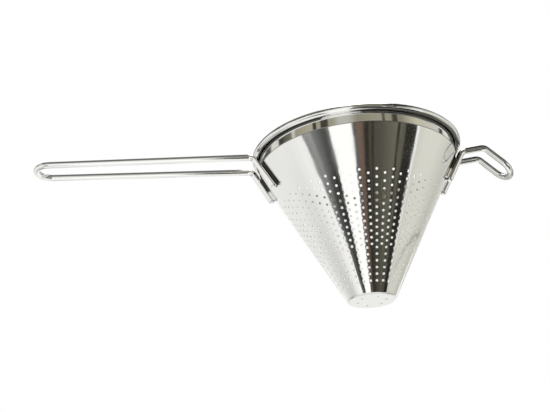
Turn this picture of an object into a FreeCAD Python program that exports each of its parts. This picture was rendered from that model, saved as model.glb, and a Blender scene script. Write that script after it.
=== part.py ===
import FreeCAD, Part
import math
import os

# Chinois strainer, lengths in millimetres and angles in degrees.
# The origin is the middle of the base's underside, +Z runs up the cone's axis,
# the long handle lies along -X and the pot hook along +X.

# Sheet body
rim_diameter = 180.0
collar_diameter = 169.0
cone_depth = 121.0
base_diameter = 39.6
rim_height = 14.4
sheet = 0.8
base_corner = 2.5
base_wall = 7.0
curl_sweep = 212.0
rim_wire_clearance = 0.05

# Straining holes
hole_diameter = 2.0
hole_columns = 30
upper_rows = 4
lower_rows = 13
short_rows = 11
pitch_ratio = 1.2
plain_above_holes = 15.4
plain_below_holes = 10.6
hole_turn = 9.2
base_holes = 6
base_hole_circle = 23.8
base_hole_turn = 41.8

# Wire handle and hook
wire = 5.5
leg_drop = 22.0
leg_splay = 3.5
weld_web = 0.3
leg_bend = 7.0
handle_height = 127.2
handle_root_width = 29.6
handle_end_width = 25.0
handle_reach = 182.6
handle_rise = 0.4
hook_height = 126.5
hook_width = 22.0
hook_reach = 20.3
hook_rise = 9.0
hook_fall = 45.0
hook_tongue = 31.2
hook_bend = 6.0

# Weld beads along the wire legs
weld_bead = 3.4
weld_spread = 2.9
weld_top = 3.2

# Sizes that follow
rim_radius = rim_diameter / 2
collar_radius = collar_diameter / 2
collar_inside = collar_radius - sheet
base_radius = base_diameter / 2
wire_radius = wire / 2
slope = (collar_radius - base_radius) / cone_depth
lean = math.atan(slope)
slant = cone_depth / math.cos(lean)
crease_z = cone_depth
rim_top = crease_z + rim_height
bead_radius = (rim_radius - collar_inside) / 2
bead_centre_r = collar_inside + bead_radius
bead_centre_z = rim_top - bead_radius
curl_inside = bead_radius - sheet
rim_wire_radius = curl_inside - rim_wire_clearance
leg_offset = wire_radius + weld_web
weld_radius = weld_bead / 2

up = FreeCAD.Vector(0, 0, 1)
origin = FreeCAD.Vector(0, 0, 0)


def section_point(along, inward):
    """Point of the cone wall in the XZ half plane, up the slant and in from its outside."""
    r = base_radius + along * math.sin(lean) - inward * math.cos(lean)
    z = along * math.cos(lean) + inward * math.sin(lean)
    return FreeCAD.Vector(r, 0, z)


def turned(point, angle):
    """The point turned about the cone's axis."""
    c = math.cos(math.radians(angle))
    s = math.sin(math.radians(angle))
    return FreeCAD.Vector(point.x * c - point.y * s, point.x * s + point.y * c, point.z)


def lathe(edges, seam):
    """Solid of revolution of a closed section, its seam turned to the given angle."""
    face = Part.Face(Part.Wire(edges))
    face.rotate(origin, up, seam)
    return face.revolve(origin, up, 360)


def line(a, b):
    return Part.LineSegment(a, b).toShape()


def arc(centre, radius, start, end):
    """Arc in the XZ plane from one angle to another, either way round."""
    points = []
    for step in range(3):
        a = math.radians(start + (end - start) * step / 2)
        points.append(centre + FreeCAD.Vector(radius * math.cos(a), 0, radius * math.sin(a)))
    return Part.Arc(*points).toShape(), points[0], points[2]


def write(name, shape):
    shape.exportStep("parts/" + name + ".step")


def cone_wall():
    """The conical wall before its holes, from the base cap's edge to the mitre at the crease."""
    inside_end = (collar_inside - section_point(0, sheet).x) / math.sin(lean)
    corners = [
        section_point(base_wall, 0),
        section_point(slant, 0),
        section_point(inside_end, sheet),
        section_point(base_wall, sheet),
    ]
    edges = [line(corners[i], corners[(i + 1) % 4]) for i in range(4)]
    seam = hole_turn - 90.0 / hole_columns
    return lathe(edges, seam)


def hole_drops():
    """Distances of the hole rows below the crease: full rows, then the short rows between them."""
    first = leg_drop + plain_above_holes
    last = slant - plain_below_holes
    upper_gaps = upper_rows - 1
    lower_gaps = lower_rows - 1
    change = (pitch_ratio + 1) / 2
    pitch = (last - first) / (upper_gaps * pitch_ratio + change + lower_gaps)
    full = [first + i * pitch * pitch_ratio for i in range(upper_rows)]
    start = full[-1] + change * pitch
    full = full + [start + i * pitch for i in range(lower_rows)]
    between = [(full[i] + full[i + 1]) / 2 for i in range(short_rows)]
    return full, between


def hole_cutters():
    """One pin square to the wall for every straining hole in the cone."""
    full, between = hole_drops()
    reach = 2 * sheet
    pins = []
    for column in range(2 * hole_columns):
        drops = between if column % 2 else full
        angle = hole_turn + column * 180.0 / hole_columns
        for drop in drops:
            inner = turned(section_point(slant - drop, reach), angle)
            outer = turned(section_point(slant - drop, -reach), angle)
            pins.append(Part.makeCylinder(hole_diameter / 2, 2 * reach, inner, outer - inner))
    return Part.makeCompound(pins)


def base_cap():
    """The flat base with its rounded corner and the short wall that meets the cone."""
    reach = base_corner * math.tan((math.pi / 2 - lean) / 2)
    centre = FreeCAD.Vector(base_radius - reach, 0, base_corner)
    wall = -math.degrees(lean)
    outside, low_out, high_out = arc(centre, base_corner, -90, wall)
    inside, high_in, low_in = arc(centre, base_corner - sheet, wall, -90)
    top_out = section_point(base_wall, 0)
    top_in = section_point(base_wall, sheet)
    axis_in = FreeCAD.Vector(0, 0, sheet)
    edges = [
        line(origin, low_out),
        outside,
        line(high_out, top_out),
        line(top_out, top_in),
        line(top_in, high_in),
        inside,
        line(low_in, axis_in),
        line(axis_in, origin),
    ]
    cap = lathe(edges, 0)
    pins = []
    for i in range(base_holes):
        turn = base_hole_turn + i * 360.0 / base_holes
        spot = turned(FreeCAD.Vector(base_hole_circle / 2, 0, -sheet), turn)
        pins.append(Part.makeCylinder(hole_diameter / 2, 3 * sheet, spot, up))
    return cap.cut(Part.makeCompound(pins))


def collar_band():
    """The upright band above the crease, rolled outward at its top into the rim's bead."""
    centre = FreeCAD.Vector(bead_centre_r, 0, bead_centre_z)
    inside, wall_out, tip_in = arc(centre, curl_inside, 180, 180 - curl_sweep)
    outside, tip_out, wall_in = arc(centre, bead_radius, 180 - curl_sweep, 180)
    crease = section_point(slant, 0)
    inside_end = (collar_inside - section_point(0, sheet).x) / math.sin(lean)
    mitre = section_point(inside_end, sheet)
    edges = [
        line(crease, wall_out),
        inside,
        line(tip_in, tip_out),
        outside,
        line(wall_in, mitre),
        line(mitre, crease),
    ]
    return lathe(edges, 0)


def rim_wire():
    """The stiffening wire that the bead is rolled over."""
    middle = FreeCAD.Vector(0, 0, bead_centre_z)
    return Part.makeTorus(bead_centre_r, rim_wire_radius, middle, up)


def leg_line(along, angle):
    """Point of a leg's middle line, along the slant from the base corner."""
    return turned(section_point(along, -leg_offset), angle)


def leg_ends(width, height):
    """Foot and knee of a leg on the +X side, for knees that far apart and at that height."""
    knee_at = (height + leg_offset * math.sin(lean)) / math.cos(lean)
    angle = math.degrees(math.asin(width / 2 / section_point(knee_at, -leg_offset).x))
    return leg_line(slant - leg_drop, angle + leg_splay), leg_line(knee_at, angle)


def rounded_path(points, radii):
    """Wire through the points, with an arc of the given radius at each inner one."""
    edges = []
    start = points[0]
    for i in range(1, len(points) - 1):
        corner = points[i]
        back = (points[i - 1] - corner).normalize()
        ahead = (points[i + 1] - corner).normalize()
        half = back.getAngle(ahead) / 2
        reach = radii[i - 1] / math.tan(half)
        first = corner + back * reach
        last = corner + ahead * reach
        middle_way = (back + ahead).normalize()
        middle = corner + middle_way * (radii[i - 1] / math.sin(half) - radii[i - 1])
        edges.append(line(start, first))
        edges.append(Part.Arc(first, middle, last).toShape())
        start = last
    edges.append(line(start, points[-1]))
    return Part.Wire(edges)


def bent_wire(points, radii):
    """Round wire along a rounded path, its two cut ends rounded over."""
    path = rounded_path(points, radii)
    heading = points[1] - points[0]
    ring = Part.Wire(Part.makeCircle(wire_radius, points[0], heading))
    rod = path.makePipeShell([ring], True, False)
    for end in (points[0], points[-1]):
        rod = rod.fuse(Part.makeSphere(wire_radius, end))
    return rod.removeSplitter()


def mirror_y(point):
    return FreeCAD.Vector(point.x, -point.y, point.z)


def handle_loop():
    """The long handle, one bent wire with its ends laid down the cone, made along +X."""
    foot, knee = leg_ends(handle_root_width, handle_height)
    tip_x = rim_radius + handle_reach
    climb = (tip_x - knee.x) * math.tan(math.radians(handle_rise))
    tip = FreeCAD.Vector(tip_x, handle_end_width / 2, knee.z + climb)
    points = [foot, knee, tip, mirror_y(tip), mirror_y(knee), mirror_y(foot)]
    end_bend = end_radius(knee, tip)
    return bent_wire(points, [leg_bend, end_bend, end_bend, leg_bend])


def end_radius(before, corner):
    """Largest bend at the corner of a loop's end that leaves a short flat between two."""
    half = (before - corner).getAngle(mirror_y(corner) - corner) / 2
    flat = wire / 20
    return (corner.y - flat) * math.tan(half)


def hook_loop():
    """The short pot hook, one bent wire that rises, then falls away outside the rim."""
    foot, knee = leg_ends(hook_width, hook_height)
    crest_x = rim_radius + hook_reach
    climb = (crest_x - knee.x) * math.tan(math.radians(hook_rise))
    crest = FreeCAD.Vector(crest_x, hook_width / 2, knee.z + climb)
    fall = math.radians(hook_fall)
    tip = crest + FreeCAD.Vector(hook_tongue * math.cos(fall), 0, -hook_tongue * math.sin(fall))
    points = [foot, knee, crest, tip, mirror_y(tip), mirror_y(crest), mirror_y(knee), mirror_y(foot)]
    end_bend = end_radius(crest, tip)
    radii = [leg_bend, hook_bend, end_bend, end_bend, hook_bend, leg_bend]
    return bent_wire(points, radii)


def weld_beads(width, height):
    """A bead along both sides of each leg on the +X side, seated on the cone and against the wire."""
    foot, knee = leg_ends(width, height)
    body = Part.makeCone(base_radius, collar_radius, cone_depth)
    share = (leg_drop - weld_top) * math.cos(lean) / (knee.z - foot.z)
    beads = []
    for low, high in ((foot, knee), (mirror_y(foot), mirror_y(knee))):
        rod = Part.makeCylinder(wire_radius, low.distanceToPoint(high), low, high - low)
        outward = FreeCAD.Vector(math.cos(lean), 0, -math.sin(lean))
        outward = turned(outward, math.degrees(math.atan2(low.y, low.x)))
        across = (high - low).cross(outward).normalize() * weld_spread
        for side in (-1, 1):
            start = low - outward * leg_offset + across * side
            end = start + (high - low) * share
            bead = Part.makeCylinder(weld_radius, start.distanceToPoint(end), start, end - start)
            for tip in (start, end):
                bead = bead.fuse(Part.makeSphere(weld_radius, tip))
            for other in (body, rod, Part.makeSphere(wire_radius, low)):
                bead = bead.cut(other)
            beads.append(bead.removeSplitter())
    return Part.makeCompound(beads)


def opposite(shape):
    """The shape turned half round the axis, from the hook's side to the handle's."""
    shape.rotate(origin, up, 180)
    return shape


os.makedirs("parts", exist_ok=True)
write("perforated_cone", cone_wall().cut(hole_cutters()))
write("base_cap", base_cap())
write("collar_band", collar_band())
write("rim_wire", rim_wire())
write("handle_loop", opposite(handle_loop()))
write("handle_welds", opposite(weld_beads(handle_root_width, handle_height)))
write("hook_loop", hook_loop())
write("hook_welds", weld_beads(hook_width, hook_height))
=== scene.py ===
import math
import bpy
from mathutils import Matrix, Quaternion, Vector


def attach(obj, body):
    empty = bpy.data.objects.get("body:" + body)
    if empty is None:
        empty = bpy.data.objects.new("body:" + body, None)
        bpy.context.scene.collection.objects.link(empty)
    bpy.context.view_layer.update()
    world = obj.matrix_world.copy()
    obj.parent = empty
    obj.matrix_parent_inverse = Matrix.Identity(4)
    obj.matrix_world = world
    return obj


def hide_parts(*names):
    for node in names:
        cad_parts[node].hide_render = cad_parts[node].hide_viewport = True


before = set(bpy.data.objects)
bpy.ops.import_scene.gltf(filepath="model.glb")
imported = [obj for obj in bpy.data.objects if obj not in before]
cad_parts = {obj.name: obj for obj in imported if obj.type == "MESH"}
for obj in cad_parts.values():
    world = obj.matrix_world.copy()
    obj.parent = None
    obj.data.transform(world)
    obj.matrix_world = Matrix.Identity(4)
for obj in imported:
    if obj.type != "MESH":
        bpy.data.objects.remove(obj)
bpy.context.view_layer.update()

# Chinois strainer of polished steel sheet and bent wire, in metres and degrees.
# The origin is the middle of the base's underside, +Z runs up the cone's axis,
# the long handle lies along -X and the pot hook along +X.
MM = 0.001

# Sheet body
rim_radius = 90.0 * MM
collar_radius = 84.5 * MM
base_radius = 19.8 * MM
cone_depth = 121.0 * MM
rim_height = 14.4 * MM
sheet = 0.8 * MM
base_corner = 2.5 * MM
base_wall = 7.0 * MM
curl_sweep = 212.0
edge_roll = 0.3 * MM

# Straining holes
hole_radius = 1.0 * MM
hole_roll = 0.14 * MM
hole_columns = 30
upper_rows = 4
lower_rows = 13
short_rows = 11
pitch_ratio = 1.2
plain_above_holes = 15.4 * MM
plain_below_holes = 10.6 * MM
hole_turn = 9.2
base_holes = 6
base_hole_circle = 11.9 * MM
base_hole_turn = 41.8
base_hole_room = 1.6 * MM

# Wire handle and hook
wire_radius = 2.75 * MM
leg_drop = 22.0 * MM
leg_splay = 3.5
weld_web = 0.3 * MM
leg_bend = 7.0 * MM
handle_height = 127.2 * MM
handle_root_width = 29.6 * MM
handle_end_width = 25.0 * MM
handle_reach = 182.6 * MM
handle_rise = 0.4
hook_height = 126.5 * MM
hook_width = 22.0 * MM
hook_reach = 20.3 * MM
hook_rise = 9.0
hook_fall = 45.0
hook_tongue = 31.2 * MM
hook_bend = 6.0 * MM
loop_end_flat = 0.275 * MM

# Weld beads along the wire legs
weld_radius = 1.7 * MM
weld_spread = 2.9 * MM
weld_top = 3.2 * MM
weld_sunk = 0.2 * MM
weld_ripple = 1.5 * MM
ripple_rise = 0.06

# How finely the meshes are cut
strip_steps = 4
plain_steps = 9
base_steps = 120
wire_sides = 28
arc_step = 7.5
weld_sides = 18
ripple_steps = 6

# Painted shade over dull steel in the rim's curl, as shares of the bead's radius, and where it is left off
# so that a mirrored light shows bright
gap_middle = 0.1
gap_lean = 0.35
gap_azimuth = -35.0
mirrored_light_azimuth = -105.5
darkened_azimuth = -70.0

# Heights down to which the weld beads keep their dark scale and painted shade, near the camera and away from
# it
handle_scale_shade_near = 98.0 * MM
handle_scale_shade_far = 106.5 * MM
hook_scale_shade_low = 108.5 * MM

# Camera, from where the photograph was taken
camera_place = Vector((-0.1367, -0.7754, -0.2448))
camera_aim = Vector((-0.0730, 0.0060, 0.0907))
camera_roll = -4.29
camera_lens = 65.55
sensor_width = 36.0

# Studio
floor_level = -0.75
studio_middle = Vector((0.0, 0.0, 0.12))
floor_half = 6.0
near = 0.9
in_front = 0.01
far = 2.5
before_wall = 0.05
window_low = 19.0
window_high = 36.0
arch_radius = 0.5
camera_azimuth = -100.0
world_level = 0.75
softbox_place = (0.0, 0.15, 1.45)
softbox_size = 1.3
softbox_level = 1.8

# How finely the studio cards are cut
stop_steps = 6
card_rows = 12
arch_rows = 24

# Sizes that follow
lean = math.atan((collar_radius - base_radius) / cone_depth)
slant = cone_depth / math.cos(lean)
collar_inside = collar_radius - sheet
inside_end = (collar_inside - base_radius + sheet * math.cos(lean)) / math.sin(lean)
rim_top = cone_depth + rim_height
bead_radius = (rim_radius - collar_inside) / 2
bead_r = collar_inside + bead_radius
bead_z = rim_top - bead_radius
leg_offset = wire_radius + weld_web
strips = 2 * hole_columns
turn_steps = strips * strip_steps
UP = Vector((0, 0, 1))


class Skin:
    """Points, faces and corner normals of one mesh while it is put together."""

    def __init__(self):
        self.points = []
        self.faces = []
        self.normals = []

    def point(self, place):
        self.points.append(place)
        return len(self.points) - 1

    def row(self, places, normals):
        """New points as a row of (point, normal) pairs."""
        return [(self.point(p), n) for p, n in zip(places, normals)]

    def face(self, corners):
        """Adds a face from (point, normal) pairs, anticlockwise from outside."""
        self.faces.append([index for index, normal in corners])
        self.normals.extend(normal for index, normal in corners)

    def band(self, low, high):
        """Joins two closed rows of the same length with four-sided faces."""
        count = len(low)
        for i in range(count):
            n = (i + 1) % count
            self.face([low[i], low[n], high[n], high[i]])

    def fan(self, row, tip):
        """Closes a row onto one point."""
        count = len(row)
        for i in range(count):
            self.face([row[i], row[(i + 1) % count], tip])

    def make(self, name, material):
        mesh = bpy.data.meshes.new(name)
        mesh.from_pydata(self.points, [], self.faces)
        mesh.polygons.foreach_set("use_smooth", [True] * len(mesh.polygons))
        mesh.normals_split_custom_set(self.normals)
        mesh.materials.append(material)
        piece = bpy.data.objects.new(name, mesh)
        bpy.context.scene.collection.objects.link(piece)
        return piece


def stand_for(piece, node):
    """The piece takes a node's place on the one body."""
    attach(piece, "root")
    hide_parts(node)


def around(angle):
    """Unit vector away from the axis at an angle."""
    return Vector((math.cos(math.radians(angle)), math.sin(math.radians(angle)), 0))


def step_angle(step):
    """Angle of a mesh line that runs up the wall."""
    return hole_turn + (step - strip_steps / 2) * 360.0 / turn_steps


def wall_point(angle, along, depth):
    """Point of the cone wall, along the slant from the base corner and in from its outside."""
    r = base_radius + along * math.sin(lean) - depth * math.cos(lean)
    z = along * math.cos(lean) + depth * math.sin(lean)
    return around(angle) * r + UP * z


def wall_normal(angle):
    return around(angle) * math.cos(lean) - UP * math.sin(lean)


def wall_up(angle):
    """Way up the slant."""
    return around(angle) * math.sin(lean) + UP * math.cos(lean)


def turn(skin, runs):
    """Turns runs of a section about the axis. A run is a list of (r, z, normal r, normal z)."""
    angles = [step_angle(step) for step in range(turn_steps)]
    rings = {}
    for run in runs:
        rows = []
        for r, z, nr, nz in run:
            key = (round(r / MM, 5), round(z / MM, 5))
            if key not in rings:
                rings[key] = [skin.point(around(a) * r + UP * z) for a in angles]
            rows.append([(p, around(a) * nr + UP * nz) for p, a in zip(rings[key], angles)])
        for low, high in zip(rows, rows[1:]):
            skin.band(low, high)
    return rows


def straight(start, end):
    """Run of a section along a line, with the outside on its right."""
    dr, dz = end[0] - start[0], end[1] - start[1]
    size = math.hypot(dr, dz)
    nr, nz = dz / size, -dr / size
    return [(start[0], start[1], nr, nz), (end[0], end[1], nr, nz)]


def curve(centre, radius, start, end, side):
    """Run of a section along an arc, outside away from the centre (side 1) or towards it (side -1)."""
    count = max(2, round(abs(end - start) / arc_step))
    run = []
    for i in range(count + 1):
        a = math.radians(start + (end - start) * i / count)
        c, s = math.cos(a), math.sin(a)
        run.append((centre[0] + radius * c, centre[1] + radius * s, side * c, side * s))
    return run


def first(run):
    return run[0][:2]


def last(run):
    return run[-1][:2]


def between(a, b, count):
    """Evenly spaced values from a up to, but without, b."""
    return [a + (b - a) * i / count for i in range(count)]


def hole_drops():
    """Distances of the full hole rows below the crease, along the slant."""
    top = leg_drop + plain_above_holes
    bottom = slant - plain_below_holes
    change = (pitch_ratio + 1) / 2
    pitch = (bottom - top) / ((upper_rows - 1) * pitch_ratio + change + lower_rows - 1)
    upper = [top + i * pitch * pitch_ratio for i in range(upper_rows)]
    start = upper[-1] + change * pitch
    return upper + [start + i * pitch for i in range(lower_rows)]


def hole_profile():
    """Rings of a punched hole from the outside in: radius, depth and turn of the normal into the hole."""
    rings = []
    for bend in (0, 45, 90):
        a = math.radians(bend)
        rings.append((hole_radius + hole_roll * (1 - math.sin(a)), hole_roll * (1 - math.cos(a)), bend))
    return rings + [(r, sheet - depth, 180 - bend) for r, depth, bend in reversed(rings)]


def punch(skin, outer, inner, spot, across, upward, normal):
    """Joins two loops of wall points, outside and inside, through a hole with rolled edges."""
    ways = []
    for i in range(len(outer)):
        way = math.radians(225 + 360.0 * i / len(outer))
        ways.append(across * math.cos(way) + upward * math.sin(way))
    edge = outer
    for radius, depth, bend in hole_profile():
        c, s = math.cos(math.radians(bend)), math.sin(math.radians(bend))
        ring = skin.row([spot(w * radius, depth) for w in ways], [normal * c - w * s for w in ways])
        skin.band(edge, ring)
        edge = ring
    skin.band(edge, inner)


def cell_loop(corner, layer, left, right, low, high):
    """The points round one hole's cell, anticlockwise from outside."""
    wide = right - left
    tall = abs(low - high)
    down = 1 if low > high else -1
    loop = [corner(layer, left + k, low) for k in range(wide)]
    loop += [corner(layer, right, low - k * down) for k in range(tall)]
    loop += [corner(layer, right - k, high) for k in range(wide)]
    loop += [corner(layer, left, high + k * down) for k in range(tall)]
    return loop


def perforated_cone(material):
    """The cone wall with every straining hole cut through it."""
    skin = Skin()
    full = hole_drops()
    middle = [(a + b) / 2 for a, b in zip(full, full[1:])]
    top = full[0] - (middle[0] - full[0])
    bottom = full[-1] + (full[-1] - middle[-1])
    marks = [top]
    for row, low in zip(full, middle + [bottom]):
        marks += [row, low]
    half = strip_steps // 2
    bends = (90, 45)
    levels = [edge_roll * (1 - math.sin(math.radians(b))) for b in bends]
    levels += between(edge_roll, top, plain_steps)
    zone = len(levels)
    for a, b in zip(marks, marks[1:]):
        levels += between(a, b, half)
    levels += [bottom, slant - base_wall]
    store = {}

    def corner(layer, step, level):
        """Shared wall point with its normal, outside (layer 0) or inside (layer 1)."""
        step %= turn_steps
        angle = step_angle(step)
        bend = math.radians(bends[level]) if level < len(bends) else 0.0
        key = (layer, step, level)
        if key not in store:
            along = slant - levels[level]
            depth = edge_roll * (1 - math.cos(bend))
            if layer:
                depth = sheet
                along = min(along, inside_end - levels[level])
            store[key] = skin.point(wall_point(angle, along, depth))
        if layer:
            return store[key], -wall_normal(angle)
        return store[key], wall_normal(angle) * math.cos(bend) + wall_up(angle) * math.sin(bend)

    for strip in range(strips):
        left = strip * strip_steps
        right = left + strip_steps
        odd = strip % 2
        drops = middle[:short_rows] if odd else full
        start = zone + (half if odd else 0)
        angle = step_angle(left + strip_steps / 2)
        across, upward = around(angle + 90), wall_up(angle)
        for i, drop in enumerate(drops):
            high = start + i * 2 * half
            loops = [cell_loop(corner, layer, left, right, high + 2 * half, high) for layer in (0, 1)]

            def spot(offset, depth):
                rise = slant - drop + offset.dot(upward)
                r = base_radius + rise * math.sin(lean)
                return wall_point(angle + math.degrees(offset.dot(across) / r), rise, depth)

            punch(skin, loops[0], loops[1], spot, across, upward, wall_normal(angle))
        punched = range(start, start + len(drops) * 2 * half)
        for level in range(len(levels) - 1):
            if level in punched:
                continue
            for step in range(left, right):
                ring = ((step, level + 1), (step + 1, level + 1), (step + 1, level), (step, level))
                skin.face([corner(0, *at) for at in ring])
                skin.face([corner(1, *at) for at in reversed(ring)])
    steps = range(turn_steps)
    end = len(levels) - 1
    top_edge = [[(corner(layer, s, 0)[0], wall_up(step_angle(s))) for s in steps] for layer in (0, 1)]
    low_edge = [[(corner(layer, s, end)[0], -wall_up(step_angle(s))) for s in steps] for layer in (1, 0)]
    skin.band(*top_edge)
    skin.band(*low_edge)
    return skin.make("perforated_cone_wall", material)


def zip_rings(skin, inner, inner_angles, outer, outer_angles):
    """Fills the flat between two rings whose points stand at different angles, outside below."""
    start = inner_angles[0]

    def sorted_ring(ring, angles):
        turned = sorted(((a - start) % 360.0, corner) for a, corner in zip(angles, ring))
        return [a for a, corner in turned] + [360.0 + turned[0][0]], [c for a, c in turned] + [turned[0][1]]

    inner_ways, inner = sorted_ring(inner, inner_angles)
    outer_ways, outer = sorted_ring(outer, outer_angles)
    i = j = 0
    while i < len(inner) - 1 or j < len(outer) - 1:
        inner_done = i == len(inner) - 1
        outer_done = j == len(outer) - 1
        if outer_done or (not inner_done and inner_ways[i + 1] <= outer_ways[j + 1]):
            skin.face([inner[i], inner[i + 1], outer[j]])
            i += 1
        else:
            skin.face([inner[i], outer[j + 1], outer[j]])
            j += 1


def base_cap(material):
    """The flat base with its rounded corner, its holes and the short wall that meets the cone."""
    skin = Skin()
    reach = base_corner * math.tan((math.pi / 2 - lean) / 2)
    centre = (base_radius - reach, base_corner)
    wall = -math.degrees(lean)
    outside = curve(centre, base_corner, -90, wall, 1)
    inside = curve(centre, base_corner - sheet, wall, -90, -1)
    top_out, top_in = wall_point(0, base_wall, 0), wall_point(0, base_wall, sheet)
    top_out, top_in = (top_out.x, top_out.z), (top_in.x, top_in.z)
    outside += straight(last(outside), top_out)[1:]
    inside = straight(top_in, first(inside))[:1] + inside
    first_ring = turn(skin, [outside])[0]
    turn(skin, [straight(top_out, top_in)])
    last_ring = turn(skin, [inside])[-1]
    radii = [base_hole_circle - base_hole_room, base_hole_circle + base_hole_room]
    radii = [radii[0] / 2] + between(*radii, strip_steps) + [radii[1]]
    pitch = base_steps // base_holes
    store = {}

    def flat_angle(step):
        return base_hole_turn + (step - strip_steps / 2) * 360.0 / base_steps

    def corner(layer, step, level):
        step %= base_steps
        key = (layer, step, level)
        if key not in store:
            store[key] = skin.point(around(flat_angle(step)) * radii[level] + UP * sheet * layer)
        return store[key], UP if layer else -UP

    top = len(radii) - 1
    for step in range(base_steps):
        holed = step % pitch < strip_steps
        for level in range(top):
            if holed and level > 0:
                continue
            ring = ((step, level), (step + 1, level), (step + 1, level + 1), (step, level + 1))
            skin.face([corner(0, *at) for at in ring])
            skin.face([corner(1, *at) for at in reversed(ring)])
    for hole in range(base_holes):
        left = hole * pitch
        angle = flat_angle(left + strip_steps / 2)
        loops = [cell_loop(corner, layer, left, left + strip_steps, 1, top) for layer in (0, 1)]

        def spot(offset, depth):
            return around(angle) * base_hole_circle + offset + UP * depth

        punch(skin, loops[0], loops[1], spot, around(angle + 90), around(angle), -UP)
    steps = range(base_steps)
    skin.fan([corner(0, s, 0) for s in reversed(steps)], (skin.point(Vector()), -UP))
    skin.fan([corner(1, s, 0) for s in steps], (skin.point(UP * sheet), UP))
    flat = [flat_angle(s) for s in steps]
    round_angles = [step_angle(s) for s in range(turn_steps)]
    zip_rings(skin, [corner(0, s, top) for s in steps], flat, first_ring, round_angles)
    zip_rings(skin, last_ring, round_angles, [corner(1, s, top) for s in steps], flat)
    return skin.make("base_cap_shell", material)


def collar_band(material):
    """The upright band above the crease, rolled outward at its top into the rim's bead."""
    skin = Skin()
    curl_inside = bead_radius - sheet
    curl_end = 180 - curl_sweep
    inside = curve((bead_r, bead_z), curl_inside, 180, curl_end, -1)
    outside = curve((bead_r, bead_z), bead_radius, curl_end, 180, 1)
    roll_centre = (collar_radius - edge_roll, cone_depth + edge_roll)
    corner = curve(roll_centre, edge_roll, -90, 0, 1)
    mitre = wall_point(0, inside_end, sheet)
    runs = [
        corner,
        straight(last(corner), first(inside)),
        inside,
        straight(last(inside), first(outside)),
        outside,
        straight(last(outside), (mitre.x, mitre.z)),
        straight((mitre.x, mitre.z), first(corner)),
    ]
    turn(skin, runs)
    return skin.make("collar_band_sheet", material)


def rounded_line(points, radii):
    """Places and headings along a line through the points, with an arc at each inner one."""
    heading = (points[1] - points[0]).normalized()
    samples = [(points[0], heading)]
    for corner, before, after, radius in zip(points[1:], points, points[2:], radii):
        back = (before - corner).normalized()
        ahead = (after - corner).normalized()
        half = back.angle(ahead) / 2
        axis = ahead.cross(back).normalized()
        centre = corner + (back + ahead).normalized() * radius / math.sin(half)
        arm = corner + back * radius / math.tan(half) - centre
        sweep = math.pi - 2 * half
        count = max(2, round(math.degrees(sweep) / arc_step))
        for i in range(count + 1):
            bend = Quaternion(axis, sweep * i / count)
            samples.append((centre + bend @ arm, bend @ -back))
    samples.append((points[-1], (points[-1] - points[-2]).normalized()))
    return samples


def bent_wire(name, points, radii, material):
    """Round wire along a rounded line, its two cut ends rounded over."""
    skin = Skin()
    samples = rounded_line(points, radii)
    side = samples[0][1].orthogonal().normalized()
    rings = []
    heading = samples[0][1]
    for place, ahead in samples:
        side = heading.rotation_difference(ahead) @ side
        side = (side - ahead * side.dot(ahead)).normalized()
        heading = ahead
        spokes = [Quaternion(ahead, math.tau * i / wire_sides) @ side for i in range(wire_sides)]
        rings.append((place, ahead, spokes))
    bends = [math.radians(b) for b in between(15, 90, 5)]

    def ring(place, ahead, spokes, bend):
        normals = [s * math.sin(bend) + ahead * math.cos(bend) for s in spokes]
        return skin.row([place + n * wire_radius for n in normals], normals)

    place, ahead, spokes = rings[0]
    rows = [ring(place, -ahead, spokes, b) for b in bends]
    tip = (skin.point(place - ahead * wire_radius), -ahead)
    skin.fan(rows[0][::-1], tip)
    rows += [ring(*r, math.pi / 2) for r in rings]
    place, ahead, spokes = rings[-1]
    rows += [ring(place, ahead, spokes, b) for b in reversed(bends)]
    skin.fan(rows[-1], (skin.point(place + ahead * wire_radius), ahead))
    for low, high in zip(rows, rows[1:]):
        skin.band(low, high)
    return skin.make(name, material)


def mirror_y(point):
    return Vector((point.x, -point.y, point.z))


def leg(width, height):
    """Foot and knee of a loop's leg on the +X side, for knees that far apart and at that height."""
    along = (height + leg_offset * math.sin(lean)) / math.cos(lean)
    angle = math.degrees(math.asin(width / 2 / wall_point(0, along, -leg_offset).x))
    foot = wall_point(angle + leg_splay, slant - leg_drop, -leg_offset)
    return foot, wall_point(angle, along, -leg_offset)


def loop_points(half):
    """The loop's line: one side, then the other side back."""
    return half + [mirror_y(p) for p in reversed(half)]


def end_radius(before, corner):
    """Bend at a loop's end that leaves a short flat between its two bends."""
    half = (before - corner).angle(mirror_y(corner) - corner) / 2
    return (corner.y - loop_end_flat) * math.tan(half)


def handle_loop(material):
    """The long wire handle, made along +X and turned to -X."""
    foot, knee = leg(handle_root_width, handle_height)
    tip_x = rim_radius + handle_reach
    climb = (tip_x - knee.x) * math.tan(math.radians(handle_rise))
    tip = Vector((tip_x, handle_end_width / 2, knee.z + climb))
    bend = end_radius(knee, tip)
    points = [Vector((-p.x, -p.y, p.z)) for p in loop_points([foot, knee, tip])]
    return bent_wire("handle_loop_wire", points, [leg_bend, bend, bend, leg_bend], material)


def hook_loop(material):
    """The short pot hook, one bent wire that rises, then falls away outside the rim."""
    foot, knee = leg(hook_width, hook_height)
    crest_x = rim_radius + hook_reach
    climb = (crest_x - knee.x) * math.tan(math.radians(hook_rise))
    crest = Vector((crest_x, hook_width / 2, knee.z + climb))
    fall = math.radians(hook_fall)
    tip = crest + Vector((math.cos(fall), 0, -math.sin(fall))) * hook_tongue
    bend = end_radius(crest, tip)
    radii = [leg_bend, hook_bend, bend, bend, hook_bend, leg_bend]
    return bent_wire("hook_loop_wire", loop_points([foot, knee, crest, tip]), radii, material)


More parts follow.
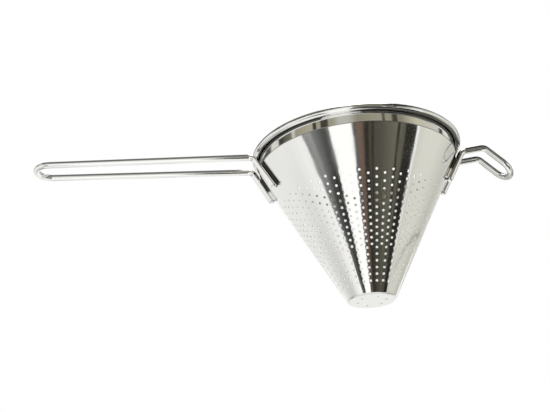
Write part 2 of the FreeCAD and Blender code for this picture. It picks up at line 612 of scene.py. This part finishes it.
def bead(skin, start, end, normal):
    """One bead along a line on the sheet: rippled, round at its ends, flat where it is sunk in."""
    ahead = (end - start).normalized()
    across = normal.cross(ahead).normalized()
    length = (end - start).length
    ripples = round(length / weld_ripple)
    count = ripples * ripple_steps
    ends = [math.radians(b) for b in between(18, 90, 4)]

    def ring(centre, radius, tilt):
        """Row round the bead; tilt is how far its normals lean along the bead."""
        places, normals = [], []
        for i in range(weld_sides):
            c, s = math.cos(math.tau * i / weld_sides), math.sin(math.tau * i / weld_sides)
            places.append(centre + across * radius * c + normal * max(radius * s, -weld_sunk))
            normals.append((across * c + normal * s + ahead * tilt).normalized())
        return skin.row(places, normals)

    rows = []
    for b in ends:
        centre = start - ahead * weld_radius * math.cos(b)
        rows.append(ring(centre, weld_radius * math.sin(b), -1 / math.tan(b)))
    for i in range(count + 1):
        wave = math.tau * i / ripple_steps
        radius = weld_radius * (1 - ripple_rise / 2 * (1 - math.cos(wave)))
        tilt = weld_radius * ripple_rise / 2 * math.sin(wave) * math.tau * ripples / length
        rows.append(ring(start + ahead * length * i / count, radius, tilt))
    for b in reversed(ends):
        centre = end + ahead * weld_radius * math.cos(b)
        rows.append(ring(centre, weld_radius * math.sin(b), 1 / math.tan(b)))
    skin.fan(rows[0][::-1], (skin.point(start - ahead * weld_radius), -ahead))
    for low, high in zip(rows, rows[1:]):
        skin.band(low, high)
    skin.fan(rows[-1], (skin.point(end + ahead * weld_radius), ahead))


def weld_beads(name, width, height, turn_to, material):
    """A bead along both sides of each leg, seated on the cone and against the wire."""
    skin = Skin()
    foot, knee = leg(width, height)
    share = (leg_drop - weld_top) * math.cos(lean) / (knee.z - foot.z)
    spin = Quaternion(UP, math.radians(turn_to))
    for low, high in ((foot, knee), (mirror_y(foot), mirror_y(knee))):
        low, high = spin @ low, spin @ high
        normal = wall_normal(math.degrees(math.atan2(low.y, low.x)))
        across = normal.cross(high - low).normalized()
        for side in (-1, 1):
            start = low - normal * leg_offset + across * weld_spread * side
            bead(skin, start, start + (high - low) * share, normal)
    return skin.make(name, material)


class Nodes:
    """A material's node tree, with short calls for the nodes that steel needs."""

    def __init__(self, name):
        self.material = bpy.data.materials.new(name)
        self.material.use_nodes = True
        self.tree = self.material.node_tree
        self.shader = self.tree.nodes["Principled BSDF"]

    def new(self, kind, **settings):
        node = self.tree.nodes.new(kind)
        for key, value in settings.items():
            setattr(node, key, value)
        return node

    def link(self, source, target):
        self.tree.links.new(source, target)

    def feed(self, node, number, value):
        if isinstance(value, bpy.types.NodeSocket):
            self.link(value, node.inputs[number])
        else:
            node.inputs[number].default_value = value

    def maths(self, operation, a, b=0.0):
        node = self.new("ShaderNodeMath", operation=operation)
        self.feed(node, 0, a)
        self.feed(node, 1, b)
        return node.outputs[0]

    def vector(self, operation, a, b=None):
        node = self.new("ShaderNodeVectorMath", operation=operation)
        self.feed(node, 0, a)
        if b is not None:
            self.feed(node, 1, b)
        return node.outputs[0]

    def noise(self, place, scale, detail, roughness=0.5):
        node = self.new("ShaderNodeTexNoise")
        self.feed(node, "Vector", place)
        node.inputs["Scale"].default_value = scale
        node.inputs["Detail"].default_value = detail
        node.inputs["Roughness"].default_value = roughness
        return node.outputs["Fac"]

    def ramp(self, value, low, high, start=0.0, end=1.0):
        """Maps a span of a value onto another, and stops at its ends."""
        node = self.new("ShaderNodeMapRange")
        node.inputs["From Min"].default_value = low
        node.inputs["From Max"].default_value = high
        node.inputs["To Min"].default_value = start
        node.inputs["To Max"].default_value = end
        self.feed(node, "Value", value)
        return node.outputs["Result"]

    def bump(self, height, depth, normal=None):
        node = self.new("ShaderNodeBump")
        node.inputs["Strength"].default_value = 1.0
        node.inputs["Distance"].default_value = depth
        self.feed(node, "Height", height)
        if normal is not None:
            self.feed(node, "Normal", normal)
        return node.outputs["Normal"]

    def mix(self, share, a, b):
        node = self.new("ShaderNodeMix", data_type="RGBA")
        self.feed(node, 0, share)
        self.feed(node, 6, a)
        self.feed(node, 7, b)
        return node.outputs[2]


def round_place(nodes, place, turns, rise):
    """Texture place that runs round the axis, drawn out along it."""
    flat = nodes.vector("MULTIPLY", place, (1.0, 1.0, 0.0))
    ring = nodes.vector("SCALE", nodes.vector("NORMALIZE", flat))
    ring.node.inputs["Scale"].default_value = turns
    high = nodes.vector("MULTIPLY", place, (0.0, 0.0, rise))
    return nodes.vector("ADD", ring, high)


def axis_distance(nodes, place):
    flat = nodes.new("ShaderNodeVectorMath", operation="LENGTH")
    nodes.feed(flat, 0, nodes.vector("MULTIPLY", place, (1.0, 1.0, 0.0)))
    return flat.outputs["Value"]


def part_of(nodes, place, axis):
    split = nodes.new("ShaderNodeSeparateXYZ")
    nodes.feed(split, 0, place)
    return split.outputs[axis]


def off_cone(nodes, place):
    """Height over the cone's outside, less than nought inside the sheet."""
    out = nodes.maths("SUBTRACT", axis_distance(nodes, place), base_radius)
    out = nodes.maths("MULTIPLY", out, math.cos(lean))
    return nodes.maths("SUBTRACT", out, nodes.maths("MULTIPLY", part_of(nodes, place, "Z"), math.sin(lean)))


def crease_shade(nodes, place):
    """Painted shade: a thin dark line along the crease between cone and collar."""
    away = nodes.maths("ABSOLUTE", nodes.maths("SUBTRACT", part_of(nodes, place, "Z"), cone_depth))
    return nodes.ramp(away, 0.2 * MM, 0.5 * MM, 0.6, 0.0)


def underside_shade(nodes, place):
    """Painted shade: the flat underside a little darker."""
    return nodes.ramp(part_of(nodes, place, "Z"), 0.5 * MM, 2.0 * MM, 0.17, 0.0)


def gap_dull_and_shade(nodes, place):
    """Unpolished steel deep in the rim's curl, painted near black as the shade under the curl, wider on one
    side and darker all through near one azimuth, left unpainted over one stretch where a light is mirrored.
    """
    way = nodes.vector("NORMALIZE", nodes.vector("MULTIPLY", place, (1.0, 1.0, 0.0)))

    def towards(azimuth):
        along = nodes.new("ShaderNodeVectorMath", operation="DOT_PRODUCT")
        nodes.feed(along, 0, way)
        nodes.feed(along, 1, around(azimuth))
        return along.outputs["Value"]

    out = nodes.maths("DIVIDE", nodes.maths("SUBTRACT", axis_distance(nodes, place), bead_r), bead_radius)
    reach = nodes.ramp(towards(gap_azimuth), 0.7, 0.95, gap_middle, gap_middle + gap_lean)
    mirrored_light = nodes.ramp(towards(mirrored_light_azimuth), 0.974, 0.9945, 0.0, 1.2)
    depth = nodes.maths("SUBTRACT", nodes.maths("SUBTRACT", reach, mirrored_light), out)
    deep = nodes.ramp(depth, -0.08, 0.08, 0.0, 0.93)
    return nodes.maths("MAXIMUM", deep, nodes.ramp(towards(darkened_azimuth), 0.87, 0.96, 0.0, 0.85))


def band_dull_and_shade(nodes, place):
    """Painted shade over the dull curl and along the crease of the collar's sheet."""
    out = nodes.maths("SUBTRACT", axis_distance(nodes, place), bead_r)
    rise = nodes.maths("SUBTRACT", part_of(nodes, place, "Z"), bead_z)
    away = nodes.maths("ADD", nodes.maths("MULTIPLY", out, out), nodes.maths("MULTIPLY", rise, rise))
    curl = nodes.maths("LESS_THAN", away, (bead_radius - sheet / 20) ** 2)
    curl = nodes.maths("MULTIPLY", curl, gap_dull_and_shade(nodes, place))
    return nodes.maths("MAXIMUM", curl, crease_shade(nodes, place))


def sheet_side_scale_and_shade(nodes, place):
    """Weld scale and painted shade on the side of a wire that lies next to the sheet."""
    uneven = nodes.maths("MULTIPLY", nodes.noise(place, 260.0, 2.0), 1.2 * MM)
    return nodes.ramp(nodes.maths("ADD", off_cone(nodes, place), uneven), 1.6 * MM, 3.0 * MM, 0.92, 0.0)


def bead_scale_and_shade(low_near, low_far):
    """Dark weld scale and painted shade on the beads above a height, one for the legs at -Y and one for
    those at +Y.
    """

    def shade_and_stain(nodes, place):
        limit = nodes.ramp(part_of(nodes, place, "Y"), -5.0 * MM, 5.0 * MM, low_near, low_far)
        return nodes.ramp(nodes.maths("SUBTRACT", part_of(nodes, place, "Z"), limit), -1.0 * MM, 1.0 * MM)

    return shade_and_stain


def hook_scale_and_shade(nodes, place):
    """Weld scale and painted shade at the welds, and a painted dark edge as shade along the outline of the
    tongue's wires.
    """
    facing = nodes.new("ShaderNodeLayerWeight")
    facing.inputs["Blend"].default_value = 0.5
    edge = nodes.ramp(facing.outputs["Facing"], 0.25, 0.5, 0.0, 0.55)
    tongue = nodes.ramp(part_of(nodes, place, "X"), 108.0 * MM, 114.0 * MM)
    return nodes.maths("MAXIMUM", nodes.maths("MULTIPLY", edge, tongue), sheet_side_scale_and_shade(nodes, place))


def steel(name, grain, wave=9e-6, shine=0.06, scuff=0.12, shade_and_stain=None, inside=0.0, dust=0.0):
    """Polished steel: a drawn grain, slow waves from forming, faint smears and fine scuffs.

    grain is the texture place's (turns, rise) round the axis, or three scales for a straight wire.
    inside is how satin the cone's inner side is, and dust how much fine dust lies on its outside."""
    nodes = Nodes(name)
    place = nodes.new("ShaderNodeTexCoord").outputs["Object"]
    if len(grain) == 2:
        drawn = round_place(nodes, place, *grain)
    else:
        drawn = nodes.vector("MULTIPLY", place, grain)
    lines = nodes.noise(drawn, 1.0, 3.0, 0.65)
    smears = nodes.noise(place, 38.0, 3.0)
    waves = nodes.noise(place, 42.0, 1.0)
    specks = nodes.ramp(nodes.noise(place, 900.0, 2.0, 0.7), 0.62, 0.74)
    patches = nodes.ramp(nodes.noise(place, 24.0, 2.0), 0.52, 0.68)
    scuffs = nodes.maths("MULTIPLY", specks, patches)
    rough = nodes.maths("MULTIPLY_ADD", nodes.ramp(smears, 0.35, 0.75), 0.05)
    rough.node.inputs[2].default_value = shine
    rough = nodes.maths("ADD", rough, nodes.maths("MULTIPLY", nodes.ramp(lines, 0.45, 0.8), 0.06))
    rough = nodes.maths("ADD", rough, nodes.maths("MULTIPLY", scuffs, scuff))
    tone = nodes.mix(nodes.ramp(lines, 0.3, 0.7), (*bright, 1.0), (*shaded, 1.0))
    tone = nodes.mix(nodes.maths("MULTIPLY", scuffs, 0.35), tone, (*shaded, 1.0))
    normal = nodes.bump(waves, wave)
    normal = nodes.bump(lines, 4e-7, normal)
    # This mask darkens the tone towards near black: painted shade in the crease, the curl, the underside and
    # beside the sheet, over real weld scale and dull steel where the mask holds them.
    if shade_and_stain is not None:
        spots = shade_and_stain(nodes, place)
        tone = nodes.mix(spots, tone, (*shade_and_stain_black, 1.0))
        rough = nodes.maths("MAXIMUM", rough, nodes.maths("MULTIPLY", spots, 0.25))
    nodes.shader.inputs["Metallic"].default_value = 1.0
    if inside:
        unseen = nodes.ramp(off_cone(nodes, place), -0.5 * MM, -0.3 * MM, 1.0, 0.0)
        rough = nodes.maths("MAXIMUM", rough, nodes.maths("MULTIPLY", unseen, 0.6))
        tone = nodes.mix(unseen, tone, (*satin, 1.0))
        haze = nodes.maths("MULTIPLY", nodes.ramp(nodes.noise(place, 700.0, 2.0), 0.4, 0.7), 0.08)
        haze = nodes.maths("MULTIPLY", nodes.maths("ADD", haze, scuffs), dust)
        haze = nodes.maths("MAXIMUM", haze, nodes.maths("MULTIPLY", unseen, inside))
        nodes.link(nodes.maths("SUBTRACT", 1.0, haze), nodes.shader.inputs["Metallic"])
    nodes.link(tone, nodes.shader.inputs["Base Color"])
    nodes.link(rough, nodes.shader.inputs["Roughness"])
    nodes.link(normal, nodes.shader.inputs["Normal"])
    return nodes.material


def only_in_reflections(thing):
    """Keeps a studio card out of the picture and out of the light on the floor."""
    thing.visible_camera = False
    thing.visible_diffuse = False
    thing.visible_transmission = False
    thing.visible_volume_scatter = False
    thing.visible_shadow = False


def glowing(name, points, columns, tints):
    """A reflection card from rows of points, with a colour for each column or for each point."""
    faces = []
    for a in range(len(points) - columns):
        if (a + 1) % columns:
            faces.append((a, a + 1, a + columns + 1, a + columns))
    mesh = bpy.data.meshes.new(name)
    mesh.from_pydata(points, [], faces)
    layer = mesh.color_attributes.new("tint", "FLOAT_COLOR", "POINT")
    for i, entry in enumerate(layer.data):
        entry.color = (*tints[i % len(tints)], 1.0)
    material = bpy.data.materials.new(name)
    material.use_nodes = True
    tree = material.node_tree
    tree.nodes.remove(tree.nodes["Principled BSDF"])
    glow = tree.nodes.new("ShaderNodeEmission")
    tint = tree.nodes.new("ShaderNodeAttribute")
    tint.attribute_name = "tint"
    tree.links.new(tint.outputs["Color"], glow.inputs["Color"])
    tree.links.new(glow.outputs[0], tree.nodes["Material Output"].inputs["Surface"])
    mesh.materials.append(material)
    thing = bpy.data.objects.new(name, mesh)
    bpy.context.scene.collection.objects.link(thing)
    only_in_reflections(thing)


def mixed(a, b, share):
    """Values part of the way from one list to another."""
    return [p + (q - p) * share for p, q in zip(a, b)]


def card(name, distance, low, high, *stops):
    """A studio card bent round the object between two elevations.

    Each stop is an azimuth right of the camera, a second one at the lower edge, and a colour for each."""
    columns = []
    for here, after in zip(stops, stops[1:]):
        for share in between(0.0, 1.0, stop_steps):
            ends = mixed(here[:2], after[:2], share)
            columns.append((*ends, mixed(here[2], after[2], share), mixed(here[3], after[3], share)))
    columns.append(stops[-1])
    points, tints = [], []
    for share in between(0.0, 1.0, card_rows) + [1.0]:
        rise = math.radians(low + (high - low) * share)
        for top, bottom, top_tint, low_tint in columns:
            way = around(camera_azimuth + bottom + (top - bottom) * share)
            points.append(studio_middle + (way * math.cos(rise) + UP * math.sin(rise)) * distance)
            tints.append(mixed(low_tint, top_tint, share))
    glowing(name, points, len(columns), tints)


def even_card(name, distance, low, high, *stops, foot=1.0):
    """A card with one colour at each stop, at a lower level along its lower edge."""
    card(name, distance, low, high, *[(*stop, [foot * c for c in stop[2]]) for stop in stops])


def plain_card(name, distance, low, high, left, right, tint):
    """A card of one colour."""
    even_card(name, distance, low, high, (left, left, tint), (right, right, tint))


def arch(name, low, high, left, right, tint):
    """A card bent over the top of the wires, between two places along X and two turns about it."""
    points = []
    for share in between(0.0, 1.0, arch_rows) + [1.0]:
        rise = math.radians(low + (high - low) * share)
        y = -math.cos(rise) * arch_radius
        z = studio_middle.z + math.sin(rise) * arch_radius
        points += [Vector((left, y, z)), Vector((right, y, z))]
    glowing(name, points, 2, [tint, tint])


def plain(level):
    return (level, level, 0.985 * level)


def cream(level):
    return (level, 0.99 * level, 0.90 * level)


def olive(level):
    return (level, 0.95 * level, 0.72 * level)


def brown(level):
    return (level, 0.66 * level, 0.50 * level)


def wedge():
    """The dark band left of the middle: a row of cards that narrow and darken downwards."""
    tones = ((0.0, 0.30), (0.12, 0.36), (0.27, 0.46), (0.36, 0.28), (0.5, 0.215), (0.62, 0.16), (0.73, 0.10),
             (0.85, 0.14), (1.0, 0.32))
    edges = ((-48, -32.0, -25.5, 0.5), (-38, -43.3, -25.0, 0.22), (-31, -49.2, -25.0, 0.22),
             (-27, -53.0, -26.0, 0.65), (-21, -56.8, -27.5, 0.85), (-14, -61.0, -29.0, 1.05))
    for i, (below, above) in enumerate(zip(edges, edges[1:])):
        low_rise, low_left, low_right, low_level = below
        top_rise, top_left, top_right, top_level = above
        stops = []
        for share, tone in tones:
            top = top_left + (top_right - top_left) * share
            low = low_left + (low_right - low_left) * share
            stops.append((top, low, plain(tone * top_level), plain(tone * low_level)))
        card(f"wedge_{i}", near - in_front, low_rise, top_rise, *stops)


def low_cards():
    """Flags and boards below the rim, mirrored in the cone."""
    even_card(
        "flag_right", near, -56, -16,
        (-1.0, -1.0, plain(0.22)), (1.2, 1.2, plain(0.09)), (3.5, 3.5, plain(0.14)),
        (5.0, 5.0, brown(0.24)), (11.0, 10.0, brown(0.20)), (13.0, 12.0, olive(0.04)),
        (17.2, 15.5, olive(0.03)), (18.5, 17.0, olive(0.10)), (21.0, 20.0, olive(0.09)),
        (21.7, 20.7, olive(0.03)), (23.0, 22.0, olive(0.03)), (24.0, 23.0, olive(0.10)),
        (30.0, 30.0, olive(0.11)), (49.6, 53.0, olive(0.19)), (50.0, 53.5, olive(0.03)),
        (52.4, 56.0, olive(0.03)), (52.8, 56.5, olive(0.16)), (58.5, 63.0, olive(0.13)),
        (60.0, 64.5, olive(0.03)), (66.0, 71.0, olive(0.03)), (72.6, 81.5, olive(0.015)),
        foot=0.35)
    wedge()
    plain_card("softbox_strip", near, -56, -18, -30.0, -0.5, plain(1.2))
    even_card(
        "board_left", near, -12, 12,
        (-168.0, -168.0, plain(0.93)), (-100.0, -100.0, plain(0.93)), (-74.0, -74.0, plain(0.98)),
        (-56.0, -56.0, plain(1.06)))
    card(
        "board_left_low", near, -48, -12,
        (-168.0, -168.0, plain(0.93), plain(0.35)), (-110.0, -110.0, plain(0.93), plain(0.35)),
        (-92.0, -92.0, plain(0.94), plain(0.38)), (-80.0, -80.0, plain(0.96), plain(0.55)),
        (-68.0, -62.0, plain(0.98), plain(0.95)), (-56.0, -30.0, plain(1.0), plain(1.25)))
    even_card(
        "board_right", near, -56, 16,
        (72.3, 81.0, cream(0.80)), (82.0, 90.0, cream(0.90)), (104.0, 108.0, cream(0.87)),
        (134.0, 136.0, cream(0.64)), (150.0, 150.0, cream(0.72)), (165.0, 165.0, cream(0.80)),
        foot=0.72)
    even_card(
        "board_edge", near - in_front, -28, -2,
        (139.0, 87.0, cream(0.34)), (140.4, 88.4, cream(0.34)))
    plain_card("board_back", near, -46, -2, 140.0, 220.0, plain(1.1))


def high_cards():
    """Flags and a wall with windows at and above the rim, mirrored in the collar and its bead."""
    even_card(
        "flag_middle", near, -16, 18,
        (2.0, 2.0, plain(0.35)), (10.0, 10.0, plain(0.16)), (31.0, 31.0, plain(0.18)))
    even_card(
        "flag_side", near, -8, 18,
        (31.0, 31.0, plain(0.18)), (50.0, 50.0, plain(0.30)), (62.0, 62.0, plain(0.75)))
    even_card(
        "window_wall", far, window_low, window_high,
        (-176.0, -176.0, plain(0.76)), (-156.0, -156.0, plain(0.78)), (-150.0, -150.0, plain(0.30)),
        (-138.0, -138.0, plain(0.28)), (-132.0, -132.0, plain(0.85)), (-98.0, -98.0, cream(0.74)),
        (-90.0, -90.0, olive(0.08)), (-74.5, -74.5, olive(0.20)), (-73.5, -73.5, cream(0.66)),
        (-70.0, -70.0, cream(0.66)), (-69.0, -69.0, olive(0.34)), (-48.0, -48.0, olive(0.46)),
        (-22.0, -22.0, olive(0.36)), (-14.0, -14.0, cream(0.56)), (-4.0, -4.0, cream(0.54)),
        (6.0, 6.0, olive(0.29)), (30.0, 30.0, olive(0.37)), (56.0, 56.0, olive(0.27)),
        (76.0, 76.0, olive(0.60)), (104.0, 104.0, cream(0.64)), (120.0, 120.0, cream(0.78)),
        (134.0, 134.0, cream(0.82)), (143.0, 143.0, cream(0.10)), (151.0, 151.0, cream(0.08)),
        (156.0, 156.0, cream(0.60)), (170.0, 170.0, cream(0.70)))
    bars = ((-147, -140), (-95.5, -88.5), (-45.5, -41), (-36, -27), (34, 37), (45.5, 52), (113, 121))
    for i, (left, right) in enumerate(bars):
        plain_card(f"window_bar_{i}", far - before_wall, window_low, window_high, left, right, olive(0.055))
    even_card(
        "ceiling_flag", far, window_high, 78,
        (-6.0, -6.0, olive(0.20)), (10.0, 10.0, olive(0.13)), (60.0, 60.0, olive(0.12)),
        (90.0, 90.0, plain(0.28)), (125.0, 125.0, plain(0.50)), (150.0, 150.0, plain(0.62)))


def wire_cards():
    """Flags bent over the wires, mirrored along the handle and the hook."""
    arch("wire_flag", 34, 152, -0.44, -0.07, plain(0.17))
    arch("end_flag", 52, 152, -0.66, -0.44, plain(0.10))
    arch("hook_flag", 35, 152, 0.17, 0.42, plain(0.032))
    arch("hook_bar", -12, 19, 0.21, 0.33, plain(0.03))


def area_light(name, place, size, radiance):
    """A square soft light that faces the object."""
    data = bpy.data.lights.new(name, "AREA")
    data.size = size
    data.energy = radiance * math.pi * size * size
    lamp = bpy.data.objects.new(name, data)
    lamp.location = place
    lamp.rotation_mode = "QUATERNION"
    lamp.rotation_quaternion = (studio_middle - Vector(place)).to_track_quat("-Z", "Y")
    lamp.visible_camera = False
    bpy.context.scene.collection.objects.link(lamp)


def backdrop():
    """White surroundings for what is seen and mirrored, a softer level for what is lit."""
    world = bpy.data.worlds.new("studio")
    bpy.context.scene.world = world
    world.use_nodes = True
    tree = world.node_tree
    seen = tree.nodes["Background"]
    seen.inputs["Color"].default_value = (1.0, 1.0, 1.0, 1.0)
    seen.inputs["Strength"].default_value = 1.0
    lit = tree.nodes.new("ShaderNodeBackground")
    lit.inputs["Color"].default_value = (1.0, 1.0, 1.0, 1.0)
    lit.inputs["Strength"].default_value = world_level
    path = tree.nodes.new("ShaderNodeLightPath")
    either = tree.nodes.new("ShaderNodeMath")
    either.operation = "MAXIMUM"
    tree.links.new(path.outputs["Is Camera Ray"], either.inputs[0])
    tree.links.new(path.outputs["Is Glossy Ray"], either.inputs[1])
    through = tree.nodes.new("ShaderNodeMath")
    through.operation = "MAXIMUM"
    tree.links.new(either.outputs[0], through.inputs[0])
    tree.links.new(path.outputs["Is Transmission Ray"], through.inputs[1])
    mix = tree.nodes.new("ShaderNodeMixShader")
    tree.links.new(through.outputs[0], mix.inputs[0])
    tree.links.new(lit.outputs[0], mix.inputs[1])
    tree.links.new(seen.outputs[0], mix.inputs[2])
    tree.links.new(mix.outputs[0], tree.nodes["World Output"].inputs["Surface"])


def floor():
    """The plain pale floor, far below the hanging strainer."""
    mesh = bpy.data.meshes.new("floor")
    signs = ((-1, -1), (1, -1), (1, 1), (-1, 1))
    mesh.from_pydata([(x * floor_half, y * floor_half, floor_level) for x, y in signs], [], [(0, 1, 2, 3)])
    nodes = Nodes("floor_paper")
    place = nodes.new("ShaderNodeTexCoord").outputs["Object"]
    tone = nodes.mix(nodes.noise(place, 30.0, 3.0), (0.93, 0.93, 0.92, 1.0), (0.90, 0.90, 0.89, 1.0))
    nodes.link(tone, nodes.shader.inputs["Base Color"])
    nodes.shader.inputs["Roughness"].default_value = 0.9
    white = nodes.new("ShaderNodeEmission")
    mirrored = nodes.new("ShaderNodeMixShader")
    nodes.link(nodes.new("ShaderNodeLightPath").outputs["Is Glossy Ray"], mirrored.inputs[0])
    nodes.link(nodes.shader.outputs[0], mirrored.inputs[1])
    nodes.link(white.outputs[0], mirrored.inputs[2])
    nodes.link(mirrored.outputs[0], nodes.tree.nodes["Material Output"].inputs["Surface"])
    mesh.materials.append(nodes.material)
    thing = bpy.data.objects.new("floor", mesh)
    bpy.context.scene.collection.objects.link(thing)


def camera():
    """The photograph's camera."""
    data = bpy.data.cameras.new("camera")
    data.lens = camera_lens
    data.sensor_width = sensor_width
    data.clip_start = 0.01
    data.clip_end = 50.0
    thing = bpy.data.objects.new("camera", data)
    thing.location = camera_place
    thing.rotation_mode = "QUATERNION"
    ahead = camera_aim - camera_place
    level = ahead.to_track_quat("-Z", "Y")
    thing.rotation_quaternion = Quaternion(-ahead.normalized(), math.radians(camera_roll)) @ level
    bpy.context.scene.collection.objects.link(thing)
    bpy.context.scene.camera = thing


# Tones and materials
bright = (0.87, 0.866, 0.85)
satin = (0.93, 0.926, 0.91)
shaded = (0.82, 0.816, 0.80)
# Near black for painted shade, also standing for real weld scale and dull steel.
shade_and_stain_black = (0.042, 0.041, 0.034)
cone_steel = steel("cone_steel", (260.0, 9.0), wave=1.5e-4, scuff=0.3, shade_and_stain=crease_shade,
                   inside=0.55, dust=0.18)
cap_steel = steel("cap_steel", (90.0, 60.0), wave=6e-5, shade_and_stain=underside_shade)
band_steel = steel("band_steel", (14.0, 2400.0), wave=5e-6, shade_and_stain=band_dull_and_shade)
# The rim wire is dull steel that carries the curl's painted shade.
core_steel = steel("core_steel", (10.0, 900.0), shine=0.1, shade_and_stain=gap_dull_and_shade)
rod_steel = steel("rod_steel", (12.0, 900.0, 900.0), wave=3e-6, shine=0.05, shade_and_stain=sheet_side_scale_and_shade)
hook_steel = steel("hook_steel", (30.0, 900.0, 700.0), wave=3e-6, shine=0.05, shade_and_stain=hook_scale_and_shade)
handle_bead_scale_shade = bead_scale_and_shade(handle_scale_shade_near, handle_scale_shade_far)
hook_bead_scale_shade = bead_scale_and_shade(hook_scale_shade_low, hook_scale_shade_low)
handle_weld_steel = steel("handle_weld_steel", (40.0, 40.0), wave=1.5e-5, shine=0.2, shade_and_stain=handle_bead_scale_shade)
hook_weld_steel = steel("hook_weld_steel", (40.0, 40.0), wave=1.5e-5, shine=0.2, shade_and_stain=hook_bead_scale_shade)

# Pieces
stand_for(perforated_cone(cone_steel), "perforated_cone")
stand_for(base_cap(cap_steel), "base_cap")
stand_for(collar_band(band_steel), "collar_band")
stand_for(handle_loop(rod_steel), "handle_loop")
stand_for(hook_loop(hook_steel), "hook_loop")
handle_beads = weld_beads("handle_weld_beads", handle_root_width, handle_height, 180.0, handle_weld_steel)
stand_for(handle_beads, "handle_welds")
hook_beads = weld_beads("hook_weld_beads", hook_width, hook_height, 0.0, hook_weld_steel)
stand_for(hook_beads, "hook_welds")
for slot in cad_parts["rim_wire"].material_slots:
    slot.material = core_steel

# Studio and camera
floor()
low_cards()
high_cards()
wire_cards()
backdrop()
area_light("top_softbox", softbox_place, softbox_size, softbox_level)
camera()
bpy.context.scene.view_settings.view_transform = "Standard"
